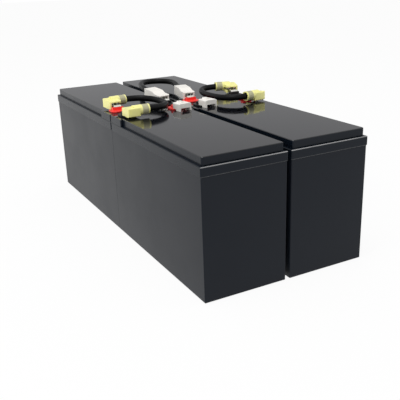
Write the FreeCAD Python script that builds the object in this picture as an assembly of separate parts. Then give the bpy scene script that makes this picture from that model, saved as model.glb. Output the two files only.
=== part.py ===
"""A 48 V battery cartridge for an uninterruptible power supply.

Four sealed 12 V lead-acid blocks stand in two rows of two, bonded with foam tape.  Their terminals
meet at the middle of the pack, where three short leads join the blocks in series and two insulating
caps cover the free ends of the string.

Frame of the pack: origin at the middle of the underside, +X to the right, +Y to the back, +Z up.
Frame of a block: origin at the middle of its underside, terminals towards +Y, positive at +X.
Frame of a terminal: origin where its riser and its blade would cross, +Y along the blade, +Z up.
"""
import FreeCAD, Part
import math
import os

from FreeCAD import Placement, Rotation, Vector

# ---- block ----
block_length = 151.0
block_width = 65.0
case_height = 86.7          # floor to the seam under the lid
lid_height = 6.7            # seam to the ledge
cover_height = 5.8          # ledge to the top face
case_wall = 2.2
case_floor = 2.5
partition = 1.5
case_setback = 0.4          # how far the case lies inside the lid's skirt
lid_setback = 0.5           # how far the lid stays back at the terminal end
case_foot_radius = 1.2
corner_radius = 0.8
joint_corner_radius = 0.15  # the case's corners where the blocks of a row meet
cell_rows = 3               # cells along the block, in each of its two columns

# ---- cell internals ----
pack_clearance = 0.35
pack_height = 66.0
plate_groups = 3
plate_gap = 1.2
plate_gap_depth = 3.0
strap_width = 6.0
strap_height = 4.0
strap_inset = 8.0           # from the middle of the block to the inner straps
strap_end_gap = 6.0         # from a strap's end to the cell wall
window_clearance = 0.15
post_width = 6.0
post_setback = 14.7         # from the terminal end to the post
post_hole_clearance = 0.4

# ---- lid and cover ----
lid_roof = 2.5
bar_sides = 8               # flats of the chimneys, their caps and the posts
chimney_bore = 5.0
chimney_width = 9.0
chimney_height = 2.6
vent_cap_wall = 1.2
vent_cap_skirt = 2.0
vent_cap_clearance = 0.05
cover_ledge = 2.1           # ledge around the cover
cover_head = 22.0           # length of the full-width head at the terminal end
cover_wall = 1.8
cover_roof = 1.6
cover_radius = 1.2
cover_edge = 0.4
well_margin = 1.5           # from the base's edge to the well under it
well_clearance = 0.2

# ---- terminals ----
terminal_inset = 10.5       # from the block's side to the terminal's middle
riser_setback = 10.0        # from the terminal end to the riser
tab_width = 6.35
tab_thickness = 0.8
tab_bend = 0.9              # mid-line radius of the bend
blade_length = 8.6
blade_tip_chamfer = 1.1
blade_hole = 1.6
hole_setback = 3.4          # from the blade's tip to the detent hole
blade_rise = 4.4            # from the top face to the blade
foot_length = 7.8
foot_drop = 4.0             # from the top face down to the tab's foot
base_width = 13.4           # the base lies evenly round the riser
base_length = 12.4
base_thickness = 1.2
base_radius = 4.0
boss_width = 9.4
boss_depth = 2.8
boss_height = 2.2
slot_clearance = 0.1
plug_gap = 0.2              # between the tab's foot and the base's plug

# ---- receptacles (female disconnects for the 6.35 mm tab) ----
metal = 0.4
receptacle_width = 7.3
receptacle_length = 7.8
blade_play = 0.03
curl_width = 2.2
curl_height = 1.5           # straight part of the curl's outer wall
sleeve_bore = 5.2
sleeve_wall = 0.45
sleeve_length = 6.5
sleeve_rise = 1.5           # sleeve axis above the blade
neck_width = 4.0

# ---- housings ----
mouth_gap = 2.1             # from the bend to the mouth of a housing
mouth_recess = 0.9          # receptacle set back in its housing
housing_width = 10.8
housing_length = 13.5
housing_below = 3.0         # housing floor below the blade
housing_above = 4.1
flag_nose_drop = 1.1         # how far a flag's top falls away at the mouth
flag_slope_drop = 0.7       # part of that fall on the slope behind the mouth
flag_slope_length = 3.0
housing_radius = 1.0
housing_clearance = 0.15
notch_length = 3.2
barrel_diameter = 8.0
barrel_wall = 0.75
barrel_reach = 13.4         # barrel's end from the middle of a flag housing
straight_length = 25.0
straight_nose = 7.0
straight_ramp = 5.0
straight_nose_above = 2.9
straight_above = 4.4
straight_sleeve_rise = 0.7

# ---- caps on the free tabs ----
cap_start = 2.6             # from the bend to the rear of a cap
cap_width = 11.2
cap_length = 10.4
cap_above = 1.7             # top face above the blade
cap_radius = 0.9            # rounded shoulders
cap_hump = 0.9
cap_hump_width = 5.0
cap_hump_length = 5.2
cap_leg = 1.3
cap_front = 1.9             # depth of the front wall below the blade
cap_front_wall = 1.0
cap_corner = 0.6            # rounded upper corners of the opening between the legs
cap_foot_gap = 0.1
cap_heel_gap = 1.2          # from the base's edge to the legs in front of it
cap_pocket_clearance = 0.25

# ---- leads ----
cord_diameter = 5.0
cord_sides = 12
cord_run = 13.2             # first run of a lead from its stop
bend_share = 0.45           # share of the shorter run beside a bend that its arc takes

# ---- pack ----
row_gap = 2.7               # between the lids of the two rows
joint_gap = 0.1             # between the cases of the two blocks in a row
tape_width = 22.0
tape_inset = 12.0
joint_tape_margin = 8.0

half_turn = Rotation(Vector(0, 0, 1), 180)
half_length = block_length / 2
half_width = block_width / 2
ledge_height = case_height + lid_height
top_height = ledge_height + cover_height
terminal_x = half_width - terminal_inset
blade_height = top_height + blade_rise
foot_height = top_height - foot_drop
riser_y = half_length - riser_setback
post_y = half_length - post_setback
row_x = (block_width + row_gap) / 2
block_y = half_length + joint_gap / 2
case_x = half_width - case_setback
case_far = case_setback - half_length
lid_near = half_length - lid_setback


def box(x, y, z):
    """A box between the given pairs of coordinates."""
    corner = Vector(min(x), min(y), min(z))
    return Part.makeBox(abs(x[1] - x[0]), abs(y[1] - y[0]), abs(z[1] - z[0]), corner)


def cylinder(diameter, start, length, axis=Vector(0, 0, 1)):
    return Part.makeCylinder(diameter / 2, length, start, axis)


def bar(across, start, length):
    """An upright bar with as many flats as a chimney, by its size across the flats."""
    turn = 2 * math.pi / bar_sides
    reach = across / 2 / math.cos(turn / 2)
    corners = [start + Vector(math.cos(i * turn), math.sin(i * turn), 0) * reach for i in range(bar_sides)]
    return prism(corners, 0, Vector(0, 0, length))


def outline(points, radii):
    """A closed wire through the points, each corner rounded by its radius (0 keeps it sharp)."""
    count = len(points)
    edges = []
    stops = []
    for i, (corner, radius) in enumerate(zip(points, radii)):
        back = (points[i - 1] - corner).normalize()
        ahead = (points[(i + 1) % count] - corner).normalize()
        if radius == 0:
            stops.append((corner, corner, None))
            continue
        half = back.getAngle(ahead) / 2
        reach = radius / math.tan(half)
        middle = corner + (back + ahead).normalize() * (radius / math.sin(half) - radius)
        stops.append((corner + back * reach, corner + ahead * reach, middle))
    for i, (start, end, middle) in enumerate(stops):
        if middle is not None:
            edges.append(Part.Arc(start, middle, end).toShape())
        following = stops[(i + 1) % count][0]
        if (following - end).Length > 1e-6:
            edges.append(Part.makeLine(end, following))
    return Part.Wire(edges)


def prism(points, radii, way):
    """The rounded outline extruded along a vector."""
    if not isinstance(radii, (list, tuple)):
        radii = [radii] * len(points)
    return Part.Face(outline(points, radii)).extrude(way)


def plan(x, y, z, radii):
    """An upright block with rounded upright corners, from (x0, y0) anticlockwise."""
    corners = [(x[0], y[0]), (x[1], y[0]), (x[1], y[1]), (x[0], y[1])]
    points = [Vector(*corner, z[0]) for corner in corners]
    return prism(points, radii, Vector(0, 0, z[1] - z[0]))


def polygon(corners):
    return Part.Face(Part.makePolygon(corners + corners[:1]))


def fused(shapes):
    whole = shapes[0].fuse(shapes[1:]) if len(shapes) > 1 else shapes[0]
    return whole.removeSplitter()


def cell_columns():
    """The two columns of cells, as x ranges."""
    inner = partition / 2
    return [(inner, case_x - case_wall), (case_wall - case_x, -inner)]


def cell_spans():
    """The cells along a block, as y ranges from the terminal end to the far end."""
    near = half_length - case_wall
    far = case_far + case_wall
    pitch = (near - far + partition) / cell_rows
    return [(near - i * pitch - (pitch - partition), near - i * pitch) for i in range(cell_rows)]


def strap_runs():
    """The seven cast straps of a block: two posts, four links and the cross link at the far end.

    Each entry lists the plan rectangles (x, y ranges) of one strap in the order of the string.
    """
    spans = cell_spans()
    outer = terminal_x
    half = strap_width / 2
    runs = [[((outer - half, outer + half), inset(spans[0]))]]
    for row in range(cell_rows - 1):
        x = strap_inset if row % 2 == 0 else outer
        y = (spans[row + 1][0] + strap_end_gap, spans[row][1] - strap_end_gap)
        runs.append([((x - half, x + half), y)])
    x = strap_inset if cell_rows % 2 else outer
    y = inset(spans[-1])
    cross = (y[0], y[0] + strap_width)
    runs.append([((x - half, x + half), y), ((-x - half, half - x), y), ((-x, x), cross)])
    mirrored = [[((-x[1], -x[0]), y) for x, y in run] for run in runs[:-1]]
    return runs + mirrored[::-1]


def inset(span):
    return (span[0] + strap_end_gap, span[1] - strap_end_gap)


def strap_levels():
    foot = case_floor + pack_height
    return (foot, foot + strap_height)


def straps():
    """Cast lead straps on the plate groups, with the two posts that rise to the terminals."""
    levels = strap_levels()
    solids = [fused([box(x, y, levels) for x, y in run]) for run in strap_runs()]
    for index, side in ((0, 1), (-1, -1)):
        foot = Vector(side * terminal_x, post_y, levels[1])
        post = bar(post_width, foot, foot_height - levels[1])
        solids[index] = fused([solids[index], post])
    return solids


def case():
    """Open-topped moulded container with two columns of cells and rounded bottom edges."""
    near = half_length
    level = (0, case_height)
    radii = [corner_radius, corner_radius, joint_corner_radius, joint_corner_radius]
    body = plan((-case_x, case_x), (case_far, near), level, radii)
    foot = case_foot_radius
    across = [Vector(-case_x, case_far, 0), Vector(case_x, case_far, 0),
              Vector(case_x, case_far, case_height), Vector(-case_x, case_far, case_height)]
    along = [Vector(-case_x, case_far, 0), Vector(-case_x, near, 0),
             Vector(-case_x, near, case_height), Vector(-case_x, case_far, case_height)]
    radii = [foot, foot, 0, 0]
    body = body.common(prism(across, radii, Vector(0, near - case_far, 0)))
    body = body.common(prism(along, radii, Vector(2 * case_x, 0, 0)))
    cells = [box(x, y, (case_floor, case_height)) for x in cell_columns() for y in cell_spans()]
    windows = []
    z = (strap_levels()[0] - window_clearance, strap_levels()[1] + window_clearance)
    for run in strap_runs()[1:-1]:
        for x, y in run:
            x = (x[0] - window_clearance, x[1] + window_clearance)
            y = (y[0] - window_clearance, y[1] + window_clearance)
            windows.append(box(x, y, z))
    return body.cut(cells + windows)


def cell_packs():
    """Six groups of plates and separators, notched along the top between the groups."""
    packs = []
    for x in cell_columns():
        for y in cell_spans():
            start = y[0] + pack_clearance
            length = y[1] - y[0] - 2 * pack_clearance
            pitch = (length + plate_gap) / plate_groups
            top = case_floor + pack_height
            left = x[0] + pack_clearance
            notch = top - plate_gap_depth
            points = [Vector(left, start, case_floor), Vector(left, start, top)]
            for group in range(1, plate_groups):
                rise = start + group * pitch
                drop = rise - plate_gap
                for y_at, z_at in ((drop, top), (drop, notch), (rise, notch), (rise, top)):
                    points.append(Vector(left, y_at, z_at))
            points += [Vector(left, start + length, top), Vector(left, start + length, case_floor)]
            packs.append(prism(points, 0, Vector(x[1] - x[0] - 2 * pack_clearance, 0, 0)))
    return packs


def vent_places():
    return [Vector(sum(x) / 2, sum(y) / 2 - strap_inset, 0) for x in cell_columns() for y in cell_spans()]


def lid():
    """Inner lid: its ribs meet the walls of the cells, and a chimney opens from each cell."""
    level = (case_height, ledge_height)
    body = plan((-half_width, half_width), (-half_length, lid_near), level, corner_radius)
    hollow = (case_height, ledge_height - lid_roof)
    cells = [box(x, y, hollow) for x in cell_columns() for y in cell_spans()]
    body = body.cut(cells)
    chimneys = [bar(chimney_width, p + Vector(0, 0, ledge_height), chimney_height) for p in vent_places()]
    body = fused([body] + chimneys)
    bores = [bar(chimney_bore, p + Vector(0, 0, case_height), top_height) for p in vent_places()]
    hole = post_width + 2 * post_hole_clearance
    posts = [bar(hole, Vector(side * terminal_x, post_y, case_height), top_height) for side in (1, -1)]
    return body.cut(bores + posts)


def vent_caps():
    """Rubber caps that close the chimneys and lift to vent."""
    caps = []
    bore = chimney_width + 2 * vent_cap_clearance
    for place in vent_places():
        rim = place + Vector(0, 0, ledge_height + chimney_height - vent_cap_skirt)
        outer = bar(bore + 2 * vent_cap_wall, rim, vent_cap_skirt + vent_cap_wall)
        caps.append(outer.cut(bar(bore, rim, vent_cap_skirt)))
    return caps


def cover_outline(inward, level):
    """Plan of the cover: full width at the terminal end, narrower by the ledge along the rest."""
    wide = half_width - inward
    slim = half_width - cover_ledge - inward
    near = lid_near - inward
    shoulder = half_length - cover_head + inward
    far = cover_ledge - half_length + inward
    return [Vector(-slim, far, level), Vector(slim, far, level), Vector(slim, shoulder, level),
            Vector(wide, shoulder, level), Vector(wide, near, level), Vector(-wide, near, level),
            Vector(-wide, shoulder, level), Vector(-slim, shoulder, level)]


def top_cover():
    """Hollow cover over the vents, with an open well over each terminal."""
    radii = [cover_radius, cover_radius, 0, corner_radius, corner_radius, corner_radius, corner_radius, 0]
    body = prism(cover_outline(0, ledge_height), radii, Vector(0, 0, cover_height))
    rim = [e for e in body.Edges if e.BoundBox.ZMin > top_height - 1e-6]
    body = body.makeChamfer(cover_edge, rim)
    hollow = prism(cover_outline(cover_wall, ledge_height), 0, Vector(0, 0, cover_height - cover_roof))
    wells = [box(*well(side, 0), (ledge_height, top_height)) for side in (1, -1)]
    return body.cut([hollow] + wells)


def well(side, clearance):
    """Plan of the well at a terminal, drawn in by a clearance, as x and y ranges."""
    across = base_width / 2 - well_margin - clearance
    along = base_length / 2 - well_margin - clearance
    x = side * terminal_x
    return (x - across, x + across), (riser_y - along, riser_y + along)


def terminal_base(side):
    """Coloured plate around a terminal, with a plug down into the well and a boss for the riser."""
    x = side * terminal_x
    half = base_width / 2
    span = (riser_y - base_length / 2, riser_y + base_length / 2)
    plate = plan((x - half, x + half), span, (top_height, top_height + base_thickness), base_radius)
    plug = box(*well(side, well_clearance), (foot_height + tab_thickness + plug_gap, top_height))
    half = boss_width / 2
    boss = box((x - half, x + half), (riser_y - boss_depth / 2, riser_y + boss_depth / 2),
               (top_height, top_height + base_thickness + boss_height))
    half = tab_width / 2 + slot_clearance
    deep = tab_thickness / 2 + slot_clearance
    slot = box((x - half, x + half), (riser_y - deep, riser_y + deep), (0, 2 * top_height))
    return fused([plate, plug, boss]).cut(slot)


def terminal_place(side):
    """Frame of a terminal in its block: the blade points from the terminal end to the middle."""
    return Placement(Vector(side * terminal_x, riser_y, blade_height), half_turn)


def blade_place(yaw, pitch):
    """Frame of a blade in its terminal: its root after a bend that leaves it raised and turned."""
    turn = math.radians(90 - pitch)
    root = Vector(0, tab_bend * (1 - math.cos(turn)), tab_bend * (math.sin(turn) - 1))
    return Placement(root, Rotation(Vector(1, 0, 0), pitch).multiply(Rotation(Vector(0, 0, 1), yaw)))


def tab(yaw, pitch):
    """Bent brass tab: foot on the post, riser through the base and a blade with a detent hole."""
    half = tab_width / 2
    thick = tab_thickness / 2
    bottom = foot_height - blade_height
    foot = box((-half, half), (-thick, foot_length), (bottom, bottom + tab_thickness))
    riser = box((-half, half), (-thick, thick), (bottom, -tab_bend))
    section = [Vector(-half, -thick, -tab_bend), Vector(half, -thick, -tab_bend),
               Vector(half, thick, -tab_bend), Vector(-half, thick, -tab_bend)]
    face = Part.Face(outline(section, [0] * 4))
    bend = face.revolve(Vector(0, tab_bend, -tab_bend), Vector(-1, 0, 0), 90 - pitch)
    turned = Rotation(Vector(0, 0, 1), yaw)
    tip = blade_length - blade_tip_chamfer
    corners = [Vector(half, tip, 0), Vector(half - blade_tip_chamfer, blade_length, 0),
               Vector(blade_tip_chamfer - half, blade_length, 0), Vector(-half, tip, 0)]
    points = [Vector(-half, 0, 0), Vector(half, 0, 0)] + [turned.multVec(c) for c in corners]
    points = [p - Vector(0, 0, thick) for p in points]
    blade = prism(points, 0, Vector(0, 0, tab_thickness))
    centre = turned.multVec(Vector(0, blade_length - hole_setback, -tab_thickness))
    hole = bar(blade_hole, centre, 2 * tab_thickness)
    blade = blade.cut(hole)
    blade.Placement = blade_place(0, pitch)
    return fused([foot, riser, bend, blade])


def channel():
    """Rolled receptacle around the blade: a flat floor and two curls that press on the blade."""
    start = mouth_gap + mouth_recess
    span = (start, start + receptacle_length)
    half = receptacle_width / 2
    under = -tab_thickness / 2 - blade_play
    floor = box((-half, half), span, (under - metal, under))
    radius = curl_width / 2
    shoulder = under - metal + curl_height
    pieces = [floor]
    for side in (1, -1):
        outer = (side * half, side * (half - metal))
        inner = (side * (half - curl_width), side * (half - curl_width + metal))
        pieces.append(box(outer, span, (under - metal, shoulder)))
        pieces.append(box(inner, span, (tab_thickness / 2 + blade_play, shoulder)))
        centre = Vector(side * (half - radius), span[0], shoulder)
        roll = cylinder(curl_width, centre, receptacle_length, Vector(0, 1, 0))
        roll = roll.cut(cylinder(curl_width - 2 * metal, centre, receptacle_length, Vector(0, 1, 0)))
        pieces.append(roll.cut(box((-half, half), span, (under - metal, shoulder))))
    return fused(pieces)


def sleeve(stop, axis):
    """Crimped sleeve with a closed end at the stop, opening along the axis."""
    outer = cylinder(sleeve_bore + 2 * sleeve_wall, stop - axis * metal, sleeve_length + metal, axis)
    return outer.cut(cylinder(sleeve_bore, stop, sleeve_length, axis))


def flag_stop():
    """Where the lead ends in a flag, and the way it leaves: the barrel lies along the rear end."""
    back = mouth_gap + housing_length - barrel_diameter / 2
    out = barrel_reach - sleeve_length - barrel_wall
    return Vector(out, back, sleeve_rise), Vector(1, 0, 0)


def straight_stop():
    length = mouth_gap + straight_length - sleeve_length - barrel_wall
    return Vector(0, length, straight_sleeve_rise), Vector(0, 1, 0)


def flag_receptacle():
    """Receptacle with its sleeve to the side, joined by a neck under the floor's edge."""
    stop, axis = flag_stop()
    under = -tab_thickness / 2 - blade_play
    half = neck_width / 2
    start = mouth_gap + mouth_recess + receptacle_length - metal
    neck = box((-half, stop.x), (start, stop.y + half), (under - metal, under))
    riser = box((stop.x - metal, stop.x), (stop.y - half, stop.y + half), (under - metal, stop.z))
    return fused([channel(), neck, riser, sleeve(stop, axis)])


def straight_receptacle():
    """Receptacle with its sleeve in line behind it."""
    stop, axis = straight_stop()
    under = -tab_thickness / 2 - blade_play
    half = neck_width / 2
    start = mouth_gap + mouth_recess + receptacle_length - metal
    neck = box((-half, half), (start, stop.y), (under - metal, under))
    riser = box((-half, half), (stop.y - metal, stop.y), (under - metal, stop.z))
    return fused([channel(), neck, riser, sleeve(stop, axis)])


def pocket(start, end):
    """Room for a receptacle and its blade inside a housing."""
    half = receptacle_width / 2 + housing_clearance
    under = -tab_thickness / 2 - blade_play - metal - housing_clearance
    above = under + curl_height + curl_width / 2 + 2 * housing_clearance
    return (-half, half), (start, end), (under, above)


def flag_housing():
    """Moulded cover of a flag: a box over the receptacle, open under its mouth, and a side barrel."""
    start = mouth_gap
    end = start + housing_length
    half = housing_width / 2
    nose = housing_above - flag_nose_drop
    side = [Vector(-half, start, -housing_below), Vector(-half, end, -housing_below),
            Vector(-half, end, housing_above),
            Vector(-half, start + flag_slope_length, housing_above - flag_slope_drop),
            Vector(-half, start, nose)]
    radii = [0, housing_radius, housing_radius, 0, housing_radius / 2]
    shell = prism(side, radii, Vector(housing_width, 0, 0))
    upright = plan((-half, half), (start, end), (-housing_below, housing_above), housing_radius)
    shell = shell.common(upright)
    stop, axis = flag_stop()
    reach = barrel_reach - stop.x
    room = sleeve_bore + 2 * (sleeve_wall + housing_clearance)
    barrel = cylinder(barrel_diameter, Vector(0, stop.y, stop.z), barrel_reach, axis)
    low = -housing_below
    trim = box((-half, barrel_reach), (start, 2 * end), (low, 2 * barrel_diameter))
    shell = fused([shell, barrel.common(trim)])
    inside = box(*pocket(start, start + mouth_recess + receptacle_length + housing_clearance))
    inside = inside.fuse(cylinder(room, stop - axis * (metal + housing_clearance), 2 * reach, axis))
    half = neck_width / 2 + housing_clearance
    under = pocket(0, 0)[2][0]
    lead_in = box((-half, stop.x + housing_clearance), (start, stop.y + half), (under, stop.z))
    notch_half = receptacle_width / 2 + housing_clearance
    notch = box((-notch_half, notch_half), (start, start + notch_length), (-housing_below, 0))
    return shell.cut([inside, lead_in, notch])


def straight_housing():
    """Moulded cover of a straight receptacle: a low nose, a ramp and a taller rear for the sleeve."""
    start = mouth_gap
    end = start + straight_length
    half = housing_width / 2
    ramp = start + straight_nose
    side = [Vector(-half, start, -housing_below), Vector(-half, end, -housing_below),
            Vector(-half, end, straight_above), Vector(-half, ramp + straight_ramp, straight_above),
            Vector(-half, ramp, straight_nose_above), Vector(-half, start, straight_nose_above)]
    radius = housing_radius
    shell = prism(side, [0, radius, radius, radius, radius, radius / 2], Vector(housing_width, 0, 0))
    upright = plan((-half, half), (start, end), (-housing_below, straight_above), housing_radius)
    shell = shell.common(upright)
    stop, axis = straight_stop()
    room = sleeve_bore + 2 * (sleeve_wall + housing_clearance)
    inside = box(*pocket(start, start + mouth_recess + receptacle_length + housing_clearance))
    bore = cylinder(room, stop - axis * (metal + housing_clearance), 2 * straight_length, axis)
    half = neck_width / 2 + housing_clearance
    under = pocket(0, 0)[2][0]
    lead_in = box((-half, half), (start, stop.y + housing_clearance), (under, stop.z))
    return shell.cut([inside, bore, lead_in])


def cap():
    """Insulating cap over a free blade: a rounded shell with a hump, straddling it on two legs."""
    start = cap_start
    end = start + cap_length
    half = cap_width / 2
    foot = cap_foot_gap - blade_rise
    across = [Vector(-half, start, foot), Vector(half, start, foot),
              Vector(half, start, cap_above), Vector(-half, start, cap_above)]
    shell = prism(across, [0, 0, cap_radius, cap_radius], Vector(0, cap_length, 0))
    foot_half = cap_hump_width / 2
    hump = [Vector(-foot_half, start, cap_above - cap_hump), Vector(foot_half, start, cap_above - cap_hump),
            Vector(foot_half - cap_hump, start, cap_above + cap_hump),
            Vector(cap_hump - foot_half, start, cap_above + cap_hump)]
    shell = fused([shell, prism(hump, 0, Vector(0, cap_hump_length, 0))])
    inner = half - cap_leg
    opening = [Vector(-inner, start, foot), Vector(inner, start, foot),
               Vector(inner, start, -cap_front), Vector(-inner, start, -cap_front)]
    arch = prism(opening, [0, 0, cap_corner, cap_corner], Vector(0, cap_length, 0))
    half = tab_width / 2 + cap_pocket_clearance
    thick = tab_thickness / 2 + cap_pocket_clearance
    room = box((-half, half), (start, end - cap_front_wall), (-cap_front, thick))
    heel = box((-cap_width, cap_width), (0, base_length / 2 + cap_heel_gap), (foot, foot + base_thickness))
    return shell.cut([arch, room, heel])


# ---- the pack ----
block_rows = {"front_left": -1, "front_right": 1, "rear_left": -1, "rear_right": 1}
# how each blade was bent when its connector or cap was pushed on: (turn, rise) in degrees
blade_bends = {
    ("rear_left", 1): (6, 2), ("front_left", -1): (0, 0),
    ("rear_left", -1): (6, 5), ("rear_right", 1): (-7, 3),
    ("rear_right", -1): (-15, 2), ("front_right", 1): (7, 0),
    ("front_left", 1): (6, 0), ("front_right", -1): (7, 0),
}
# each lead: name, then for both ends (label, block, side, kind, hand, how far it is drawn off)
leads = [
    ("left_lead", [
        ("rear", "rear_left", 1, "flag", 1, 0.0),
        ("front", "front_left", -1, "flag", -1, 0.0)]),
    ("rear_lead", [
        ("left", "rear_left", -1, "straight", 1, 0.0),
        ("right", "rear_right", 1, "straight", 1, 0.0)]),
    ("right_lead", [
        ("rear", "rear_right", -1, "flag", -1, 2.0),
        ("front", "front_right", 1, "flag", 1, 3.0)]),
]
# middle points of each lead's route, between its two connectors: x, y and the height above the covers
lead_routes = {
    "left_lead": [(-24.6, 18.0, 5.8), (-19.8, 3.0, 5.2), (-22.5, -12.0, 5.2)],
    "rear_lead": [(-13.4, 61.1, 8.2), (-9.7, 79.6, 7.8), (-1.6, 87.1, 7.5), (9.2, 88.5, 7.1),
                  (18.9, 83.4, 7.0), (23.8, 73.5, 7.0), (21.3, 57.9, 7.0)],
    "right_lead": [(28.4, 24.3, 5.8), (22.2, 11.6, 5.2), (22.6, -2.5, 5.1), (26.0, -19.0, 5.5)],
}


def block_place(block):
    x = block_rows[block] * row_x
    if block.startswith("front"):
        return Placement(Vector(x, -block_y, 0), Rotation())
    return Placement(Vector(x, block_y, 0), half_turn)


def connector_place(block, side, drawn):
    """Frame of a connector or cap: its blade's frame, moved along the blade as far as it is drawn off."""
    blade = blade_place(*blade_bends[block, side])
    drawn_off = Placement(Vector(0, drawn, 0), Rotation())
    return block_place(block).multiply(terminal_place(side)).multiply(blade).multiply(drawn_off)


def placed(shape, place):
    moved = shape.copy()
    moved.Placement = place.multiply(moved.Placement)
    return moved


def handed(shape, hand):
    return shape if hand > 0 else shape.mirror(Vector(), Vector(1, 0, 0))


def lead_end(end):
    """The stop of a lead in its connector and the way out, in the frame of the pack."""
    label, block, side, kind, hand, drawn = end
    stop, axis = flag_stop() if kind == "flag" else straight_stop()
    if kind == "flag":
        stop = Vector(stop.x * hand, stop.y, stop.z)
        axis = axis * hand
    place = connector_place(block, side, drawn)
    return place.multVec(stop), place.Rotation.multVec(axis)


def route(name, ends):
    first, out = lead_end(ends[0])
    last, back = lead_end(ends[1])
    middle = [Vector(x, y, top_height + height) for x, y, height in lead_routes[name]]
    return [first, first + out * cord_run] + middle + [last + back * cord_run, last]


def lead_tube(name, points):
    """Straight runs joined by tangent arcs, each as large as the two runs at its corner allow.

    The section has many flat sides, carried from piece to piece, and stands for a round one.
    """
    way = (points[1] - points[0]).normalize()
    across = way.cross(Vector(0, 0, 1)).normalize() * (cord_diameter / 2)
    ring = [points[0] + Rotation(way, i * 360 / cord_sides).multVec(across) for i in range(cord_sides)]
    pieces = []
    radii = []
    length = 0
    at = points[0]
    for before, corner, after in zip(points, points[1:], points[2:]):
        back = before - corner
        ahead = after - corner
        reach = bend_share * min(back.Length, ahead.Length)
        back.normalize()
        ahead.normalize()
        turn = math.pi - back.getAngle(ahead)
        radius = reach / math.tan(turn / 2)
        run = corner + back * reach - at
        centre = corner + (back + ahead).normalize() * (radius / math.cos(turn / 2))
        axis = ahead.cross(back)
        pieces.append(polygon(ring).extrude(run))
        ring = [p + run for p in ring]
        pieces.append(polygon(ring).revolve(centre, axis, math.degrees(turn)))
        bend = Rotation(axis, math.degrees(turn))
        ring = [centre + bend.multVec(p - centre) for p in ring]
        length += run.Length + radius * turn
        radii.append(radius)
        at = corner + ahead * reach
    pieces.append(polygon(ring).extrude(points[-1] - at))
    length += (points[-1] - at).Length
    tube = pieces[0].fuse(pieces[1:])
    section = polygon(ring).Area
    runs = [(b - a).Length for a, b in zip(points, points[1:])]
    print(name, "length %.1f" % length, "volume share %.4f" % (tube.Volume / (section * length)))
    print("  radii", ["%.1f" % r for r in radii], "runs", ["%.1f" % r for r in runs])
    print("  points", [tuple(round(c, 1) for c in p) for p in points])
    return tube


def row_tape():
    """Two strips of foam tape between the cases of the rows."""
    x = row_x - case_x
    strips = []
    for side in (-1, 1):
        y = (side * tape_inset, side * (2 * half_length - tape_inset))
        level = (case_height - tape_inset - tape_width, case_height - tape_inset)
        strips.append(box((-x, x), y, level))
    return strips


def joint_tape():
    """Thin bonding film between the ends of the blocks, one piece in each row."""
    half = half_width - joint_tape_margin
    y = (-joint_gap / 2, joint_gap / 2)
    level = (joint_tape_margin, case_height - joint_tape_margin)
    return [box((side * row_x - half, side * row_x + half), y, level) for side in (-1, 1)]


def save(node, solids):
    solids = solids if isinstance(solids, list) else [solids]
    bodies = [s for shape in solids for s in shape.Solids]
    whole = bodies[0] if len(bodies) == 1 else Part.makeCompound(bodies)
    whole.exportStep("parts/%s.step" % node)


def build():
    os.makedirs("parts", exist_ok=True)
    moulded = {
        "case": case(), "plate_groups": cell_packs(), "straps": straps(), "lid": lid(),
        "vent_caps": vent_caps(), "cover": top_cover(),
        "positive_base": terminal_base(1), "negative_base": terminal_base(-1),
    }
    for block in block_rows:
        place = block_place(block)
        for name, shapes in moulded.items():
            shapes = shapes if isinstance(shapes, list) else [shapes]
            save(block + "_" + name, [placed(s, place) for s in shapes])
        for name, side in (("positive_tab", 1), ("negative_tab", -1)):
            where = place.multiply(terminal_place(side))
            save(block + "_" + name, placed(tab(*blade_bends[block, side]), where))
    connectors = {
        "flag": (flag_housing(), flag_receptacle()),
        "straight": (straight_housing(), straight_receptacle()),
    }
    for name, ends in leads:
        for label, block, side, kind, hand, drawn in ends:
            where = connector_place(block, side, drawn)
            housing, receptacle = connectors[kind]
            save("%s_%s_housing" % (name, label), placed(handed(housing, hand), where))
            save("%s_%s_receptacle" % (name, label), placed(handed(receptacle, hand), where))
        save(name + "_wire", lead_tube(name, route(name, ends)))
    save("positive_end_cap", placed(cap(), connector_place("front_left", 1, 0.0)))
    save("negative_end_cap", placed(cap(), connector_place("front_right", -1, 0.0)))
    save("row_tape", row_tape())
    save("joint_tape", joint_tape())


build()
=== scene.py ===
import math

import bmesh
import bpy
import numpy as np
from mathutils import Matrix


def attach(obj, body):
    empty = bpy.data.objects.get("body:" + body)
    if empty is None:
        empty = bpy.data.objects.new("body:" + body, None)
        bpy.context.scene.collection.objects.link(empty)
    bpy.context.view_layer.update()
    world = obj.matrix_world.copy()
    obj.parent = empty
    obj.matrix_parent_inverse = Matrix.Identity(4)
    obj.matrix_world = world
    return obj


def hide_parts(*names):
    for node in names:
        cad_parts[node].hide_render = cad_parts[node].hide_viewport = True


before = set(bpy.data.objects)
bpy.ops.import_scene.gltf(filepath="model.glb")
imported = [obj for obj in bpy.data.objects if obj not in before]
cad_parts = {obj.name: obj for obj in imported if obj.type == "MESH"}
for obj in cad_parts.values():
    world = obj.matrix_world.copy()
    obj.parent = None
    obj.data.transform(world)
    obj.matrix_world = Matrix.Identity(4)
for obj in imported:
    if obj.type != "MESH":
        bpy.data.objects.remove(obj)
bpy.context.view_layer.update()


# ==== camera ====
# A standing viewer looks down at the front left corner of the pack, from a little over half a metre.
# The lens and the place are plain values in millimetres and degrees, in the frame of the pack.
MM = 0.001
scene = bpy.context.scene
camera = bpy.data.objects.new("camera", bpy.data.cameras.new("camera"))
camera.location = np.array([-232.2, -464.4, 202.7]) * MM
camera.rotation_euler = np.radians([69.88, 1.88, -28.45])
camera.data.lens = 55.52
camera.data.sensor_width = 36.0
scene.collection.objects.link(camera)
scene.camera = camera


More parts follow.
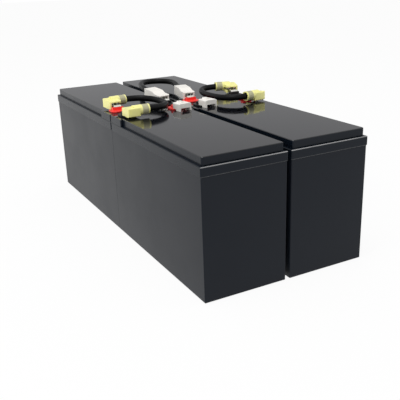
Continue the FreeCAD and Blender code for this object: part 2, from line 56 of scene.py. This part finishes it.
# ==== leads ====
# Three short leads of limp stranded wire in black rubber-like insulation join the blocks in series.
# Each springs up a little from its crimped ends and lies in a loose curve over the covers.
cord_diameter = 5.0
lead_routes = {
    "left_lead": [
        (-50.9, 23.0, 105.5), (-37.8, 24.4, 105.6), (-24.6, 18.0, 105.0), (-19.3, 2.0, 104.4),
        (-22.0, -14.0, 104.4), (-35.5, -22.6, 105.1), (-49.7, -22.5, 105.1)],
    "rear_lead": [
        (-13.9, 30.5, 106.0), (-15.3, 43.6, 107.2), (-12.0, 59.5, 107.4), (-6.0, 77.0, 107.0),
        (1.5, 86.8, 106.7), (12.0, 89.0, 106.3), (21.5, 84.0, 106.2), (25.5, 73.0, 106.2),
        (21.9, 57.9, 106.2), (15.9, 43.6, 106.0), (14.3, 30.5, 105.3)],
    "right_lead": [
        (53.4, 25.6, 105.6), (40.7, 29.0, 105.7), (30.6, 25.4, 105.0), (25.0, 12.4, 104.4),
        (24.6, -3.4, 104.3), (27.4, -20.4, 104.7), (38.8, -28.4, 105.1), (51.5, -26.2, 105.1)],
}


def new_material(name, colour, roughness, **sockets):
    """A Principled material; returns it with its node tree and shader."""
    material = bpy.data.materials.new(name)
    material.use_nodes = True
    tree = material.node_tree
    shader = tree.nodes["Principled BSDF"]
    shader.inputs["Base Color"].default_value = (*colour, 1.0)
    shader.inputs["Roughness"].default_value = roughness
    for socket, value in sockets.items():
        shader.inputs[socket.replace("_", " ")].default_value = value
    return material, tree, shader


def surface_group():
    """Node group: fine grain and slow patches from noise, as colour, roughness and height.

    Colour = base mixed towards worn by patches, roughness = base plus patches times its spread,
    height = grain noise.
    """
    group = bpy.data.node_groups.new("moulded_surface", "ShaderNodeTree")
    ports = group.interface
    for label, kind, value in (
        ("Base", "NodeSocketColor", (0.02, 0.02, 0.02, 1)),
        ("Worn", "NodeSocketColor", (0.05, 0.05, 0.05, 1)),
        ("Patches", "NodeSocketFloat", 0.2), ("Patch Scale", "NodeSocketFloat", 40.0),
        ("Grain Scale", "NodeSocketFloat", 1500.0), ("Roughness", "NodeSocketFloat", 0.4),
        ("Spread", "NodeSocketFloat", 0.1),
    ):
        port = ports.new_socket(name=label, in_out="INPUT", socket_type=kind)
        port.default_value = value
    for label, kind in (
        ("Colour", "NodeSocketColor"), ("Roughness", "NodeSocketFloat"), ("Height", "NodeSocketFloat"),
    ):
        ports.new_socket(name=label, in_out="OUTPUT", socket_type=kind)
    nodes, link = group.nodes, group.links.new
    given = nodes.new("NodeGroupInput")
    out = nodes.new("NodeGroupOutput")
    place = nodes.new("ShaderNodeTexCoord")
    slow = nodes.new("ShaderNodeTexNoise")
    slow.inputs["Detail"].default_value = 6.0
    slow.inputs["Roughness"].default_value = 0.62
    link(place.outputs["Object"], slow.inputs["Vector"])
    link(given.outputs["Patch Scale"], slow.inputs["Scale"])
    contrast = nodes.new("ShaderNodeMapRange")
    contrast.inputs["From Min"].default_value = 0.38
    contrast.inputs["From Max"].default_value = 0.68
    link(slow.outputs["Fac"], contrast.inputs["Value"])
    amount = nodes.new("ShaderNodeMath")
    amount.operation = "MULTIPLY"
    link(contrast.outputs["Result"], amount.inputs[0])
    link(given.outputs["Patches"], amount.inputs[1])
    mix = nodes.new("ShaderNodeMix")
    mix.data_type = "RGBA"
    link(amount.outputs["Value"], mix.inputs["Factor"])
    link(given.outputs["Base"], mix.inputs[6])
    link(given.outputs["Worn"], mix.inputs[7])
    rough = nodes.new("ShaderNodeMath")
    rough.operation = "MULTIPLY_ADD"
    link(contrast.outputs["Result"], rough.inputs[0])
    link(given.outputs["Spread"], rough.inputs[1])
    link(given.outputs["Roughness"], rough.inputs[2])
    grain = nodes.new("ShaderNodeTexNoise")
    grain.inputs["Detail"].default_value = 2.0
    link(place.outputs["Object"], grain.inputs["Vector"])
    link(given.outputs["Grain Scale"], grain.inputs["Scale"])
    link(mix.outputs[2], out.inputs["Colour"])
    link(rough.outputs["Value"], out.inputs["Roughness"])
    link(grain.outputs["Fac"], out.inputs["Height"])
    return group


moulded_surface = surface_group()


def moulded(name, base, worn, patches, patch_scale, grain_scale, roughness, spread, bump, **sockets):
    """A material with the moulded surface group on its colour, roughness and normal."""
    material, tree, shader = new_material(name, base, roughness, **sockets)
    surface = tree.nodes.new("ShaderNodeGroup")
    surface.node_tree = moulded_surface
    surface.inputs["Base"].default_value = (*base, 1)
    surface.inputs["Worn"].default_value = (*worn, 1)
    for label, value in (("Patches", patches), ("Patch Scale", patch_scale), ("Grain Scale", grain_scale),
                         ("Roughness", roughness), ("Spread", spread)):
        surface.inputs[label].default_value = value
    relief = tree.nodes.new("ShaderNodeBump")
    relief.inputs["Strength"].default_value = bump
    relief.inputs["Distance"].default_value = 0.02 * MM
    tree.links.new(surface.outputs["Colour"], shader.inputs["Base Color"])
    tree.links.new(surface.outputs["Roughness"], shader.inputs["Roughness"])
    tree.links.new(surface.outputs["Height"], relief.inputs["Height"])
    tree.links.new(relief.outputs["Normal"], shader.inputs["Normal"])
    return material


insulation = moulded(
    "lead_insulation", base=(0.001, 0.001, 0.0015), worn=(0.003, 0.003, 0.004), patches=0.5, patch_scale=90,
    grain_scale=900, roughness=0.36, spread=0.12, bump=0.4,
    Specular_IOR_Level=0.13)

for name, points in lead_routes.items():
    curve = bpy.data.curves.new(name, "CURVE")
    curve.dimensions = "3D"
    curve.bevel_depth = cord_diameter / 2 * MM
    curve.bevel_resolution = 7
    curve.resolution_u = 16
    spline = curve.splines.new("NURBS")
    spline.points.add(len(points) - 1)
    spline.points.foreach_set("co", np.column_stack([np.array(points) * MM, np.ones(len(points))]).ravel())
    spline.order_u = 3
    spline.use_endpoint_u = True
    curve.materials.append(insulation)
    lead = bpy.data.objects.new(name + "_flex", curve)
    scene.collection.objects.link(lead)
    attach(lead, "root")
    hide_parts(name + "_wire")


# ==== cases, lids and covers ====
# Each block is a black moulded case with a bonded lid, whose skirt stands a little proud all round.
# A polished cover lies on the lid, and a narrow ledge runs round it except at the terminals.
def softened(node, edge, material, turn=30.0, steps=2, highlight_rim=None):
    """A copy of a part with its doubles merged and its edges rounded by a small radius in mm.

    Where a rim material is given, only the level edges along the part's outer sides are rounded, and
    their roundings take it, which paints a highlight into their colour: a ridge counts where one face is
    level, the other upright, and its middle lies under reach from a side of the part's box. Edges below
    are rounded across the ends only.
    """
    weld, reach = 0.002 * MM, 0.8 * MM
    still_flat = math.radians(0.5)
    upright_most, level_least, end_least = 0.2, 0.9, 0.3
    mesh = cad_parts[node].data.copy()
    mesh.name = node
    work = bmesh.new()
    work.from_mesh(mesh)
    bmesh.ops.remove_doubles(work, verts=work.verts, dist=weld)
    for line in work.edges:
        line.smooth = line.calc_face_angle(0.0) < math.radians(turn)
    if highlight_rim:
        bmesh.ops.dissolve_limit(work, angle_limit=still_flat, verts=work.verts, edges=work.edges)
        places = np.array([corner.co for corner in work.verts])
        least, most = places.min(axis=0)[:2], places.max(axis=0)[:2]
        weight = work.edges.layers.float.new("bevel_weight_edge")
        for line in work.edges:
            middle = np.array((line.verts[0].co + line.verts[1].co) / 2)[:2]
            outer = min((middle - least).min(), (most - middle).min()) < reach
            if outer and line.is_convex and not line.smooth:
                upright, level = sorted(line.link_faces, key=lambda face: abs(face.normal.z))
                ridge = abs(upright.normal.z) < upright_most and abs(level.normal.z) > level_least
                line[weight] = float(ridge and (level.normal.z > 0 or abs(upright.normal.y) > end_least))
    work.to_mesh(mesh)
    work.free()
    mesh.shade_smooth()
    mesh.materials.clear()
    mesh.materials.append(material)
    piece = bpy.data.objects.new(node + "_finished", mesh)
    scene.collection.objects.link(piece)
    if edge:
        bevel = piece.modifiers.new("edge", "BEVEL")
        bevel.width = edge * MM
        bevel.segments = steps
        bevel.limit_method = "WEIGHT" if highlight_rim else "ANGLE"
        bevel.angle_limit = math.radians(turn)
        bevel.harden_normals = False
        bevel.use_clamp_overlap = highlight_rim is None
        bevel.loop_slide = highlight_rim is None
        if highlight_rim:
            mesh.materials.append(highlight_rim)
            bevel.material = 1
    even = piece.modifiers.new("even", "WEIGHTED_NORMAL")
    even.keep_sharp = True
    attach(piece, "root")
    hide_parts(node)
    return piece


def painted_highlight_group():
    """Node group: a highlight painted into the colour of edges across a block's ends, most where they face
    up.

    Share = how far the normal points up, or Below times how far it points down, times how far it
    points along the block, times a slow noise. Colour = base mixed towards the highlight grey by that
    share: a painted highlight.
    """
    group = bpy.data.node_groups.new("painted_highlight", "ShaderNodeTree")
    ports = group.interface
    for label, kind, value in (
        ("Base", "NodeSocketColor", (0.004, 0.0065, 0.011, 1)),
        ("Highlight Grey", "NodeSocketColor", (0.2, 0.2, 0.2, 1)),
        ("Below", "NodeSocketFloat", 0.4), ("Break Scale", "NodeSocketFloat", 45.0),
    ):
        port = ports.new_socket(name=label, in_out="INPUT", socket_type=kind)
        port.default_value = value
    ports.new_socket(name="Colour", in_out="OUTPUT", socket_type="NodeSocketColor")
    nodes, link = group.nodes, group.links.new
    given = nodes.new("NodeGroupInput")
    out = nodes.new("NodeGroupOutput")

    def ramp(value, start, end, least=0.0):
        """A clamped straight ramp from least at start to one at end."""
        node = nodes.new("ShaderNodeMapRange")
        node.inputs["From Min"].default_value = start
        node.inputs["From Max"].default_value = end
        node.inputs["To Min"].default_value = least
        link(value, node.inputs["Value"])
        return node.outputs["Result"]

    def joined(operation, first, second=None):
        """One Math node on one or two values."""
        node = nodes.new("ShaderNodeMath")
        node.operation = operation
        link(first, node.inputs[0])
        if second is not None:
            link(second, node.inputs[1])
        return node.outputs["Value"]

    facing = nodes.new("ShaderNodeNewGeometry")
    parts = nodes.new("ShaderNodeSeparateXYZ")
    link(facing.outputs["Normal"], parts.inputs["Vector"])
    upper = ramp(parts.outputs["Z"], 0.2, 0.6)
    lower = joined("MULTIPLY", ramp(parts.outputs["Z"], -0.2, -0.6), given.outputs["Below"])
    across_end = ramp(joined("ABSOLUTE", parts.outputs["Y"]), 0.15, 0.4)
    place = nodes.new("ShaderNodeTexCoord")
    slow = nodes.new("ShaderNodeTexNoise")
    link(place.outputs["Object"], slow.inputs["Vector"])
    link(given.outputs["Break Scale"], slow.inputs["Scale"])
    broken = ramp(slow.outputs["Fac"], 0.3, 0.6, least=0.45)
    # Where the painted highlight falls: edges facing up, or down by Below, across the ends, broken by noise.
    share = joined("MULTIPLY", joined("MAXIMUM", upper, lower), joined("MULTIPLY", across_end, broken))
    mix = nodes.new("ShaderNodeMix")
    mix.data_type = "RGBA"
    link(share, mix.inputs["Factor"])
    link(given.outputs["Base"], mix.inputs[6])
    link(given.outputs["Highlight Grey"], mix.inputs[7])
    link(mix.outputs[2], out.inputs["Colour"])
    return group


painted_highlight = painted_highlight_group()


def painted_highlight_rim(name, highlight_grey, below):
    """A material whose colour is black plastic with a highlight painted in the given grey by the group."""
    base = (0.004, 0.0065, 0.011)
    material, tree, shader = new_material(name, base, 0.25, Specular_IOR_Level=0.19)
    edge = tree.nodes.new("ShaderNodeGroup")
    edge.node_tree = painted_highlight
    edge.inputs["Base"].default_value = (*base, 1)
    edge.inputs["Highlight Grey"].default_value = (highlight_grey, highlight_grey, highlight_grey, 1)
    edge.inputs["Below"].default_value = below
    tree.links.new(edge.outputs["Colour"], shader.inputs["Base Color"])
    return material


blocks = ("front_left", "front_right", "rear_left", "rear_right")
# Rim materials: a highlight painted into the colour of the rounded rims, a lighter grey for the lids.
lid_painted_highlight = painted_highlight_rim("lid_painted_highlight", 0.34, 0.28)
cover_painted_highlight = painted_highlight_rim("cover_painted_highlight", 0.24, 0.0)
case_plastic = moulded(
    "case_plastic", base=(0.0078, 0.0103, 0.0155), worn=(0.0095, 0.0122, 0.0175), patches=0.5, patch_scale=25,
    grain_scale=700, roughness=0.3, spread=0.06, bump=0.25,
    Specular_IOR_Level=0.15)
lid_plastic = moulded(
    "lid_plastic", base=(0.004, 0.0068, 0.012), worn=(0.0055, 0.0085, 0.014), patches=0.5, patch_scale=25,
    grain_scale=700, roughness=0.24, spread=0.06, bump=0.2,
    Specular_IOR_Level=0.17)
cover_plastic = moulded(
    "cover_plastic", base=(0.004, 0.0045, 0.0065), worn=(0.006, 0.0072, 0.0105), patches=0.4, patch_scale=18,
    grain_scale=500, roughness=0.06, spread=0.05, bump=0.05,
    Specular_IOR_Level=0.45)
# A cover's top and its chamfer are polished, and its sides keep the lid's finish. The rim material,
# with its painted highlight, lies only on the small rounding at its foot across the ends.
top_slot, side_slot, side_most = 0, 2, 0.3
for block in blocks:
    softened(block + "_case", 0.0, case_plastic)
    softened(block + "_lid", 0.6, lid_plastic, steps=3, highlight_rim=lid_painted_highlight)
    cover = softened(block + "_cover", 0.3, cover_plastic, highlight_rim=cover_painted_highlight)
    cover.data.materials.append(lid_plastic)
    normals = np.empty(len(cover.data.polygons) * 3)
    cover.data.polygons.foreach_get("normal", normals)
    upright = np.abs(normals.reshape(-1, 3)[:, 2]) < side_most
    slots = np.where(upright, side_slot, top_slot).astype(np.int32)
    cover.data.polygons.foreach_set("material_index", slots)


# ==== terminals ====
# A red or black plate lies round each terminal, and a brass blade stands through it on a riser.
positive_red = moulded(
    "positive_red", base=(0.93, 0.045, 0.035), worn=(0.82, 0.04, 0.03), patches=0.4, patch_scale=120,
    grain_scale=900, roughness=0.3, spread=0.1, bump=0.1)
negative_black = moulded(
    "negative_black", base=(0.005, 0.005, 0.006), worn=(0.012, 0.012, 0.013), patches=0.4, patch_scale=120,
    grain_scale=900, roughness=0.35, spread=0.1, bump=0.1,
    Specular_IOR_Level=0.3)
tinned_brass = moulded(
    "tinned_brass", base=(0.75, 0.74, 0.7), worn=(0.6, 0.58, 0.52), patches=0.5, patch_scale=300,
    grain_scale=2500, roughness=0.22, spread=0.15, bump=0.2,
    Metallic=1.0)
for block in blocks:
    softened(block + "_positive_base", 0.25, positive_red)
    softened(block + "_negative_base", 0.25, negative_black)
    for end in ("_positive_tab", "_negative_tab"):
        softened(block + end, 0.08, tinned_brass)


# ==== connectors and caps ====
# Nylon housings, pale yellow flags and white straight ones, clip over rolled receptacles.
# Two white caps cover the free blades.
yellow_nylon = moulded(
    "yellow_nylon", base=(0.95, 0.91, 0.32), worn=(0.92, 0.88, 0.42), patches=0.5, patch_scale=150,
    grain_scale=900, roughness=0.3, spread=0.1, bump=0.1,
    Transmission_Weight=0.06, IOR=1.53)
white_nylon = moulded(
    "white_nylon", base=(0.9, 0.87, 0.82), worn=(0.87, 0.84, 0.78), patches=0.4, patch_scale=150,
    grain_scale=900, roughness=0.32, spread=0.1, bump=0.1,
    Transmission_Weight=0.05, IOR=1.53)
# Through the thin wall of a flag's barrel the crimped sleeve shows as a grey band.
band_start, band_end, band_fade = 0.9, 6.4, 0.4
band_share = 0.85


def show_sleeve(material):
    """Mix the colour towards grey where the attribute, mm along the lead from its stop, is in the band."""
    tree = material.node_tree
    shader = tree.nodes["Principled BSDF"]
    along = tree.nodes.new("ShaderNodeAttribute")
    along.attribute_name = "along_sleeve"
    steps = []
    for start, end in ((band_start, band_start + band_fade), (band_end, band_end - band_fade)):
        ramp = tree.nodes.new("ShaderNodeMapRange")
        ramp.inputs["From Min"].default_value = start
        ramp.inputs["From Max"].default_value = end
        tree.links.new(along.outputs["Fac"], ramp.inputs["Value"])
        steps.append(ramp)
    band = tree.nodes.new("ShaderNodeMath")
    band.operation = "MULTIPLY"
    for socket, ramp in zip(band.inputs, steps):
        tree.links.new(ramp.outputs["Result"], socket)
    share = tree.nodes.new("ShaderNodeMath")
    share.operation = "MULTIPLY"
    share.inputs[1].default_value = band_share
    tree.links.new(band.outputs["Value"], share.inputs[0])
    mix = tree.nodes.new("ShaderNodeMix")
    mix.data_type = "RGBA"
    mix.inputs[7].default_value = (0.36, 0.35, 0.25, 1)
    tree.links.new(share.outputs["Value"], mix.inputs["Factor"])
    tree.links.new(shader.inputs["Base Color"].links[0].from_socket, mix.inputs[6])
    tree.links.new(mix.outputs[2], shader.inputs["Base Color"])


show_sleeve(yellow_nylon)


def measure_sleeve(piece, points):
    """Store on each vertex how far it lies along the lead's first run from its stop, in mm."""
    stop, ahead = np.array(points[0]), np.array(points[1])
    way = (ahead - stop) / np.linalg.norm(ahead - stop)
    places = np.empty(len(piece.data.vertices) * 3)
    piece.data.vertices.foreach_get("co", places)
    along = (places.reshape(-1, 3) / MM - stop) @ way
    piece.data.attributes.new("along_sleeve", "FLOAT", "POINT").data.foreach_set("value", along)


for lead, ends, nylon, slot_name in (
    ("left_lead", ("rear", "front"), yellow_nylon, "yellow_nylon"),
    ("rear_lead", ("left", "right"), white_nylon, "white_nylon"),
    ("right_lead", ("rear", "front"), yellow_nylon, "yellow_nylon"),
):
    for end, points in zip(ends, (lead_routes[lead], lead_routes[lead][::-1])):
        housing = softened(f"{lead}_{end}_housing", 0.3, nylon)
        if nylon is yellow_nylon:
            measure_sleeve(housing, points)
        softened(f"{lead}_{end}_receptacle", 0.0, tinned_brass)
for node in ("positive_end_cap", "negative_end_cap"):
    softened(node, 0.3, white_nylon)


# ==== inside ====
# Grey plate groups and cast lead straps, rubber vent caps and foam tape, seen when a block is opened.
plate_lead = moulded(
    "plate_lead", base=(0.16, 0.16, 0.17), worn=(0.24, 0.23, 0.22), patches=0.6, patch_scale=200,
    grain_scale=900, roughness=0.6, spread=0.2, bump=0.5)
cast_lead = moulded(
    "cast_lead", base=(0.3, 0.3, 0.32), worn=(0.22, 0.22, 0.24), patches=0.6, patch_scale=200,
    grain_scale=900, roughness=0.5, spread=0.2, bump=0.5,
    Metallic=1.0)
vent_rubber = moulded(
    "vent_rubber", base=(0.02, 0.02, 0.02), worn=(0.03, 0.03, 0.03), patches=0.4, patch_scale=150,
    grain_scale=900, roughness=0.7, spread=0.1, bump=0.3)
foam_tape = moulded(
    "foam_tape", base=(0.015, 0.015, 0.015), worn=(0.03, 0.03, 0.03), patches=0.5, patch_scale=200,
    grain_scale=1200, roughness=0.85, spread=0.1, bump=0.6)
inner = {"_plate_groups": plate_lead, "_straps": cast_lead, "_vent_caps": vent_rubber}
for block in blocks:
    for ending, material in inner.items():
        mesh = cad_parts[block + ending].data
        mesh.materials.clear()
        mesh.materials.append(material)
for node in ("row_tape", "joint_tape"):
    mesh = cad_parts[node].data
    mesh.materials.clear()
    mesh.materials.append(foam_tape)


# ==== floor, world and lamps ====
# A pale floor and a white surround, with one large soft lamp above and a weaker one from the left.
def seen_directly(tree, kinds):
    """One where a ray is of a named kind, zero elsewhere: the largest of their Light Path values."""
    rays = tree.nodes.new("ShaderNodeLightPath")
    found = rays.outputs[kinds[0]]
    for kind in kinds[1:]:
        either = tree.nodes.new("ShaderNodeMath")
        either.operation = "MAXIMUM"
        tree.links.new(found, either.inputs[0])
        tree.links.new(rays.outputs[kind], either.inputs[1])
        found = either.outputs["Value"]
    return found


floor_mesh = bpy.data.meshes.new("floor")
reach, glow_share, drop = 6.0, 0.92, 0.2 * MM
floor_mesh.from_pydata([(-reach, -reach, 0), (reach, -reach, 0), (reach, reach, 0), (-reach, reach, 0)], [],
                       [(0, 1, 2, 3)])
floor = bpy.data.objects.new("floor", floor_mesh)
floor.location.z = -drop
scene.collection.objects.link(floor)
floor_material, tree, shader = new_material("floor", (0.85, 0.85, 0.85), 0.9)
seen = seen_directly(tree, ("Is Camera Ray", "Is Glossy Ray"))
share = tree.nodes.new("ShaderNodeMath")
share.operation = "MULTIPLY"
share.inputs[1].default_value = glow_share
tree.links.new(seen, share.inputs[0])
glow = tree.nodes.new("ShaderNodeEmission")
glow.inputs["Strength"].default_value = 1.0
blend = tree.nodes.new("ShaderNodeMixShader")
tree.links.new(share.outputs["Value"], blend.inputs["Fac"])
tree.links.new(shader.outputs["BSDF"], blend.inputs[1])
tree.links.new(glow.outputs["Emission"], blend.inputs[2])
tree.links.new(blend.outputs["Shader"], tree.nodes["Material Output"].inputs["Surface"])
floor_mesh.materials.append(floor_material)

world = bpy.data.worlds.new("surround")
scene.world = world
world.use_nodes = True
sky = world.node_tree.nodes["Background"]
seen = seen_directly(world.node_tree, ("Is Camera Ray", "Is Glossy Ray", "Is Transmission Ray"))
level = world.node_tree.nodes.new("ShaderNodeMapRange")
level.inputs["To Min"].default_value = 0.7
level.inputs["To Max"].default_value = 1.0
world.node_tree.links.new(seen, level.inputs["Value"])
world.node_tree.links.new(level.outputs["Result"], sky.inputs["Strength"])
sky.inputs["Color"].default_value = (1, 1, 1, 1)


def soft_lamp(name, place, aim, size, power, mirrored):
    """A square area lamp at a place in metres, turned to shine on the aim."""
    lamp = bpy.data.objects.new(name, bpy.data.lights.new(name, "AREA"))
    lamp.data.energy = power
    lamp.data.size = size
    lamp.visible_glossy = mirrored
    lamp.location = place
    way = lamp.location - lamp.location.__class__(aim)
    lamp.rotation_euler = way.to_track_quat("Z", "Y").to_euler()
    scene.collection.objects.link(lamp)


soft_lamp("overhead", (-0.25, -0.25, 1.3), (0, 0, 0.05), 0.6, 7.0, True)
soft_lamp("left", (-1.3, -0.2, 0.7), (0, 0, 0.05), 0.9, 4.0, False)

# A grey card stands behind the pack, and only mirror reflections, as in the polished covers, show it.
card_mesh = bpy.data.meshes.new("card")
card_place, card_half, card_low, card_high = (0.75, 1.35), 1.1, 0.12, 2.4
card_turn = math.radians(-28)
across = np.array([math.cos(card_turn), math.sin(card_turn), 0]) * card_half
foot = np.array([*card_place, card_low])
head = np.array([*card_place, card_high])
corners = [tuple(foot - across), tuple(foot + across), tuple(head + across), tuple(head - across)]
card_mesh.from_pydata(corners, [], [(0, 1, 2, 3)])
card = bpy.data.objects.new("card", card_mesh)
scene.collection.objects.link(card)
for ray in ("camera", "diffuse", "shadow", "transmission"):
    setattr(card, "visible_" + ray, False)
card_material, tree, shader = new_material("card", (0.0, 0.0, 0.0), 1.0)
shader.inputs["Specular IOR Level"].default_value = 0.0
shader.inputs["Emission Color"].default_value = (0.47, 0.47, 0.48, 1)
shader.inputs["Emission Strength"].default_value = 1.0
card_mesh.materials.append(card_material)

scene.view_settings.view_transform = "Standard"
